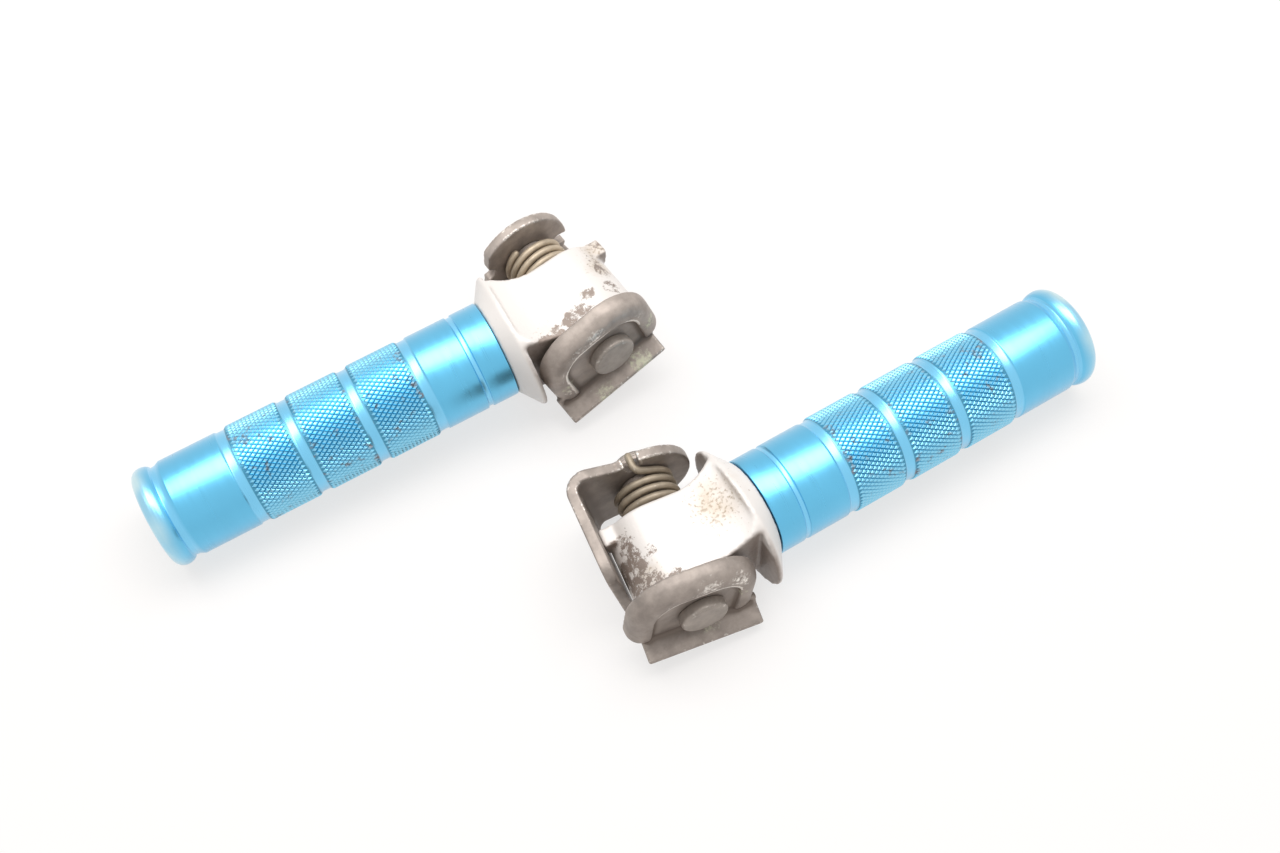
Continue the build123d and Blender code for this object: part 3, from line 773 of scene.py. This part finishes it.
def painted_casting(finish, name):
    """Cast aluminium under a thin silver-white paint: soft sheen over a fine orange peel, with
    ragged chips down to dull metal where the pieces rub, and dry dust near the flange."""
    material, tree, place = blank_material(name)
    # Chips are ragged at 1 to 3 mm.
    ragged = noise(tree, place, 2.6, 9.0, 0.82)
    chipped = calc(tree, "ADD", ragged, mask(tree, "chips"))
    edge = calc(tree, "MULTIPLY_ADD", mask(tree, "crest"), 0.12, chipped)
    bare = span(tree, edge, 0.98, 1.03)
    # Single specks of 0.3 to 0.8 mm.
    fine = noise(tree, place, 0.9, 2.0)
    dusty = mask(tree, "dusty")
    grains = calc(tree, "MULTIPLY_ADD", dusty, 0.22, fine)
    speck = span(tree, grains, 0.74, 0.9, high=0.7)
    film = noise(tree, place, 7, 4.0, 0.6)
    dust = calc(tree, "MULTIPLY", film, dusty)
    haze = span(tree, dust, 0.2, 0.7, high=0.55)
    paint = mix(tree, haze, rgba(finish.paint), rgba(finish.dust))
    specked = mix(tree, speck, paint, rgba(finish.dust, 0.62))
    # Painted shade: the walls that face the plate or the ground are darkened to brown-grey, in streaks like
    # thin paint.
    streaky = span(tree, ragged, 0.3, 0.7, 0.75, 1.1)
    thin = calc(tree, "MULTIPLY", mask(tree, "wall"), streaky)
    wall_shaded = mix(tree, thin, specked, rgba(finish.casting, 0.8))
    metal = mix(tree, film, rgba(finish.casting), rgba(finish.casting, 0.62))
    shade = mix(tree, bare, wall_shaded, metal)
    sunk = calc(tree, "MULTIPLY_ADD", bare, -0.6, fine)
    bump = node(tree, "Bump", {"Strength": 0.35, "Distance": mm(0.12), "Height": sunk})
    surface = node(tree, "BsdfPrincipled", {"Base Color": shade, "Normal": bump.outputs[0],
                                            "Metallic": span(tree, bare, 0.0, 1.0, 0.1, 0.35),
                                            "Roughness": span(tree, bare, 0.0, 1.0, 0.42, 0.6)})
    node(tree, "OutputMaterial", {"Surface": surface.outputs[0]})
    return material


# The right peg's pressings and spring are darkened to these shares of the left one's colour.
RIGHT_STEEL = 0.86
RIGHT_ZINC = 0.66


def side_tone(base, side, right_share):
    return tuple(c * (1.0 if side == "left" else right_share) for c in base)


def weathered_steel(finish, name, base, rub=0.45, lime=0.0):
    """Zinc-plated steel gone dull: grey-brown with cloudy blotches, painted shade in the hollows
    and bright edges, partly rubbed and partly a painted highlight; lime is how much white rust lies on its
    marked spots."""
    material, tree, place = blank_material(name)
    # Blotches of 4 to 6 mm with a grain of 0.5 mm in them.
    clouds = noise(tree, place, 5, 5.0, 0.62)
    grain = noise(tree, place, 0.6, 2.0)
    cloudy = span(tree, clouds, 0.36, 0.64, high=0.85)
    dull = mix(tree, cloudy, rgba(base), rgba(base, 0.66))
    # Painted shade: the hollows are darkened towards the steel's shadow colour.
    hollow_shaded = mix(tree, mask(tree, "hollow"), dull, rgba(finish.steel_hollow_shade))
    # Rubbing breaks up over 1 mm along an edge.
    broken = noise(tree, place, 1.3, 5.0, 0.7)
    # Every convex edge is brightened a little as a painted highlight, and more where the rubbed spots lie.
    share = calc(tree, "MULTIPLY_ADD", mask(tree, "rubbed"), 2.4, 0.22)
    edges = calc(tree, "MULTIPLY", mask(tree, "crest"), share)
    rubbed = calc(tree, "MULTIPLY_ADD", edges, rub, broken)
    bright = span(tree, rubbed, 0.7, 0.88, high=0.9)
    worn = mix(tree, bright, hollow_shaded, rgba(finish.steel_edge_wear_and_highlight))
    crust = calc(tree, "ADD", broken, mask(tree, "limed"))
    rust = span(tree, crust, 0.9, 1.08, high=lime)
    shade = mix(tree, rust, worn, rgba(finish.lime))
    height = calc(tree, "MULTIPLY_ADD", grain, 0.5, clouds)
    bump = node(tree, "Bump", {"Strength": 0.4, "Distance": mm(0.15), "Height": height})
    surface = node(tree, "BsdfPrincipled", {"Base Color": shade, "Normal": bump.outputs[0],
                                            "Metallic": span(tree, bright, 0.0, 1.0, 0.45, 0.8),
                                            "Roughness": span(tree, bright, 0.0, 1.0, 0.52, 0.36)})
    node(tree, "OutputMaterial", {"Surface": surface.outputs[0]})
    return material


def white_floor():
    """A matt white table that keeps a faint shadow and shows white to the camera."""
    material, tree, _ = blank_material("painted_board_matt")
    matt = node(tree, "BsdfDiffuse", {"Color": rgba(hex_colour("F6F1EE"))})
    glow = node(tree, "Emission", {"Color": WARM_WHITE, "Strength": 1.0})
    # The table glows a little less near the pegs, where their shadow has to show.
    spot = node(tree, "NewGeometry").outputs["Position"]
    away = node(tree, "VectorMath", {0: spot}, operation="LENGTH")
    glowing = span(tree, away.outputs["Value"], 0.3, 1.0, low=0.7)
    share = calc(tree, "MULTIPLY", sight_ray(tree), glowing)
    mixed = node(tree, "MixShader", {0: share, 1: matt.outputs[0], 2: glow.outputs[0]})
    node(tree, "OutputMaterial", {"Surface": mixed.outputs[0]})
    return material


# Where the pieces are worn, as (x, y, z, reach, strength) in mm in each peg's own frame

ARM_CHIPS = {
    "left": [(-3, 5, 12.5, 6, 0.52), (1, 8, 12.5, 8, 0.53), (6, 9, 12.5, 7, 0.55), (11, 10, 12, 6, 0.55),
             (15, 11, 12, 6, 0.57), (20, 13, 12, 5, 0.52), (-12, -6, 8, 7, 0.46), (-12, -1, 9, 8, 0.48),
             (-10, 6, 9, 8, 0.48), (-16, -10, 8, 7, 0.46)],
    "right": [(-13, -5, 7, 10, 0.5), (-12, 2, 8, 10, 0.54), (-15, 2, 2, 10, 0.55), (-14, 8, 5, 10, 0.56),
              (-10, 9, 9, 9, 0.52), (-4, 11, 12, 6, 0.5), (-8, 1, 11, 7, 0.47)],
}
ARM_DUST = {
    "left": [(14, 11, 12, 10, 0.7), (-12, -3, 8, 9, 0.9), (-16, -10, 8, 8, 1.1)],
    "right": [(14, -4, 13, 14, 1.1), (-10, 8, 9, 10, 0.8)],
}
PLATE_LIME = {
    "left": [(-8, 22, -12, 9, 0.62), (6, 24, -12, 7, 0.5), (-14, 17, 2, 6, 0.55), (16, 18, -4, 5, 0.5)],
    "right": [(2, 20, -9, 7, 0.42), (12, 19, 2, 5, 0.4)],
}
PLATE_RUBBED = {
    "left": [(9, 19, 8, 6, 1.2), (13, 19, 2, 6, 1.2), (4, 19, 11, 6, 1.0), (-8, 19, 8, 5, 0.9),
             (14, 19, -6, 5, 0.9)],
    "right": [(2, 19, 11, 7, 0.9), (10, 19, 9, 6, 0.8), (-8, 19, 9, 6, 0.8)],
}
BRACKET_RUBBED = [(0, -26, 14, 14, 0.16), (-18, -20, 16, 12, 0.1)]
PIN_HEAD_RUBBED = [(0, 22, 0, 10, 0.1)]


# The operators, one for each kind of piece

class PieceOperator:
    """What the piece operators share."""
    bl_options = {"REGISTER"}

    def execute(self, context):
        settings = context.scene.footpegs
        for side in SIDES:
            self.build(settings, side)
        return {"FINISHED"}


class FOOTPEG_OT_sleeves(PieceOperator, bpy.types.Operator):
    """Turned and knurled grip sleeves"""
    bl_idname = "footpeg.sleeves"
    bl_label = "Grip Sleeves"

    def execute(self, context):
        settings = context.scene.footpegs
        material = anodised_aluminium(settings.finish)
        for side in SIDES:
            mesh = sleeve_mesh(settings.sleeve)
            settle(mesh, side + "_sleeve", grip_place(settings, side), side + "_grip_sleeve", material)
        return {"FINISHED"}


class FOOTPEG_OT_arms(PieceOperator, bpy.types.Operator):
    """Painted cast arms with their flanges"""
    bl_idname = "footpeg.arms"
    bl_label = "Peg Arms"

    def build(self, settings, side):
        casting = settings.casting
        place = peg_place(settings, side)
        mesh = skinned(side + "_peg_arm", place, casting.arm_skin, casting.arm_passes)
        mark_bends(mesh)
        mark_spots(mesh, "chips", ARM_CHIPS[side])
        mark_spots(mesh, "dusty", ARM_DUST[side])
        mark_wall_shade(mesh)
        material = painted_casting(settings.finish, "cast_aluminium_painted_" + side)
        settle(mesh, side + "_arm", place, side + "_peg_arm", material)


class FOOTPEG_OT_brackets(PieceOperator, bpy.types.Operator):
    """Pressed mounting brackets"""
    bl_idname = "footpeg.brackets"
    bl_label = "Brackets"

    def build(self, settings, side):
        casting = settings.casting
        place = peg_place(settings, side)
        mesh = skinned(side + "_bracket", place, casting.bracket_skin, casting.sheet_passes)
        mark_steel(mesh, rubbed=BRACKET_RUBBED)
        material = weathered_steel(settings.finish, "pressed_steel_plated_" + side,
                                   side_tone(settings.finish.steel, side, RIGHT_STEEL))
        settle(mesh, side + "_mounting_bracket", place, side + "_bracket", material)


class FOOTPEG_OT_side_plates(PieceOperator, bpy.types.Operator):
    """Pressed side plates under the pins' heads"""
    bl_idname = "footpeg.side_plates"
    bl_label = "Side Plates"

    def build(self, settings, side):
        casting = settings.casting
        place = peg_place(settings, side)
        mesh = skinned(side + "_side_plate", place, casting.plate_skin, casting.plate_passes)
        mark_steel(mesh, PLATE_LIME[side], PLATE_RUBBED[side])
        material = weathered_steel(settings.finish, "pressed_steel_rubbed_" + side,
                                   side_tone(settings.finish.steel, side, RIGHT_STEEL), rub=0.6, lime=0.8)
        settle(mesh, side + "_plate", place, side + "_side_plate", material)


# The small pieces by CAD name: name, material, colour and slot
SMALL_PIECES = {
    "pivot_pin": ("pin", "turned_steel_dull", "pin", "pin_steel"),
    "pin_washer": ("washer", "stamped_steel_plated", "steel", "fastener_steel"),
    "pin_clip": ("clip", "spring_steel_plated", "steel", "fastener_steel"),
    "spacer_tube": ("tube", "drawn_steel_tube", "steel", "tube_steel"),
    "seat_washer": ("end_washer", "stamped_steel_plated_end", "steel", "fastener_steel"),
    "end_screw": ("cap_screw", "cold_headed_steel", "steel", "fastener_steel"),
}


class FOOTPEG_OT_fasteners(PieceOperator, bpy.types.Operator):
    """Pins, washers, clips, tubes and end screws"""
    bl_idname = "footpeg.fasteners"
    bl_label = "Pins and Fasteners"

    def build(self, settings, side):
        casting = settings.casting
        place = peg_place(settings, side)
        for cad_name, (name, material_name, tone, slot) in SMALL_PIECES.items():
            mesh = skinned(side + "_" + cad_name, place, casting.small_skin, casting.small_passes)
            mark_steel(mesh, rubbed=PIN_HEAD_RUBBED)
            material = weathered_steel(settings.finish, material_name + "_" + side,
                                       getattr(settings.finish, tone), rub=0.4)
            settle(mesh, side + "_" + name, place, side + "_" + cad_name, material)


class FOOTPEG_OT_springs(PieceOperator, bpy.types.Operator):
    """Return springs; the right one is hooked into its bracket and rides no body"""
    bl_idname = "footpeg.springs"
    bl_label = "Return Springs"

    def build(self, settings, side):
        spring = settings.spring
        place = peg_place(settings, side)
        hooked = side == "right"
        mesh = wire_mesh(wire_path(spring, hooked), spring.wire)
        mark_steel(mesh)
        material = weathered_steel(settings.finish, "spring_wire_yellow_zinc_" + side,
                                   side_tone(settings.finish.zinc, side, RIGHT_ZINC), rub=0.3)
        piece = settle(mesh, side + "_spring", place, side + "_return_spring", material,
                       rides=not hooked)
        if hooked:
            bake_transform(piece)


class FOOTPEG_OT_stage(bpy.types.Operator):
    """Floor, lamp, room light and camera"""
    bl_idname = "footpeg.stage"
    bl_label = "Stage"

    def execute(self, context):
        stage = context.scene.footpegs.stage
        add_floor(stage)
        add_lamp(stage)
        add_room(stage)
        add_camera(stage)
        context.scene.view_settings.view_transform = "Standard"
        return {"FINISHED"}


def add_floor(stage):
    half = stage.floor / 2
    mesh = bpy.data.meshes.new("floor")
    mesh.from_pydata([(-half, -half, 0), (half, -half, 0), (half, half, 0), (-half, half, 0)], [],
                     [(0, 1, 2, 3)])
    mesh.materials.append(white_floor())
    floor = bpy.data.objects.new("floor", mesh)
    bpy.context.scene.collection.objects.link(floor)


def add_lamp(stage):
    """A wide soft lamp straight above and a little behind the pegs."""
    data = bpy.data.lights.new("overhead", "AREA")
    data.shape = "RECTANGLE"
    data.size, data.size_y = stage.lamp_w, stage.lamp_d
    data.energy = stage.lamp_power
    lamp = bpy.data.objects.new("overhead", data)
    lamp.location = (0, stage.lamp_back, stage.lamp_h)
    lamp.rotation_euler = (-atan(stage.lamp_back / stage.lamp_h), 0, 0)
    bpy.context.scene.collection.objects.link(lamp)


def add_room(stage):
    """White to the camera and in reflections, and a softer level as light on the pieces."""
    world = bpy.data.worlds.new("room")
    bpy.context.scene.world = world
    world.use_nodes = True
    tree = world.node_tree
    tree.nodes.clear()
    level = span(tree, sight_ray(tree), 0.0, 1.0, low=stage.sky)
    sky = node(tree, "Background", {"Color": WARM_WHITE, "Strength": level})
    node(tree, "OutputWorld", {"Surface": sky.outputs[0]})


def add_camera(stage):
    """The camera at the picture's angle, placed from the middle between the pivots."""
    pivots = [Vector(fold_joint(side)["pos_m"]) for side in SIDES]
    middle = (pivots[0] + pivots[1]) / 2
    data = bpy.data.cameras.new("camera")
    data.sensor_width = SENSOR_W
    data.lens = stage.lens
    camera = bpy.data.objects.new("camera", data)
    back = -Vector(stage.look).normalized()
    right = Vector(stage.head_up).cross(back).normalized()
    turn = Matrix((right, back.cross(right), back)).transposed().to_4x4()
    spot = Vector((middle.x, middle.y, 0)) + Vector(stage.camera)
    camera.matrix_world = Matrix.Translation(spot) @ turn
    bpy.context.scene.collection.objects.link(camera)
    bpy.context.scene.camera = camera


OPERATORS = (FOOTPEG_OT_sleeves, FOOTPEG_OT_arms, FOOTPEG_OT_brackets, FOOTPEG_OT_side_plates,
             FOOTPEG_OT_fasteners, FOOTPEG_OT_springs, FOOTPEG_OT_stage)


class FOOTPEG_PT_panel(bpy.types.Panel):
    """The footpegs' steps in the sidebar"""
    bl_idname = "FOOTPEG_PT_panel"
    bl_label = "Footpegs"
    bl_space_type = "VIEW_3D"
    bl_region_type = "UI"
    bl_category = "Footpegs"

    def draw(self, context):
        for operator in OPERATORS:
            self.layout.operator(operator.bl_idname)


CLASSES = (SleeveSizes, CastingSizes, SpringSizes, Finishes, StageSizes, FootpegSettings,
           *OPERATORS, FOOTPEG_PT_panel)


def register():
    for made in CLASSES:
        bpy.utils.register_class(made)
    bpy.types.Scene.footpegs = PointerProperty(type=FootpegSettings)


def unregister():
    del bpy.types.Scene.footpegs
    for made in reversed(CLASSES):
        bpy.utils.unregister_class(made)


def main():
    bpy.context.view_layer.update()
    register()
    for operator in OPERATORS:
        group, name = operator.bl_idname.split(".")
        getattr(getattr(bpy.ops, group), name)()


if __name__ == "__main__":
    main()
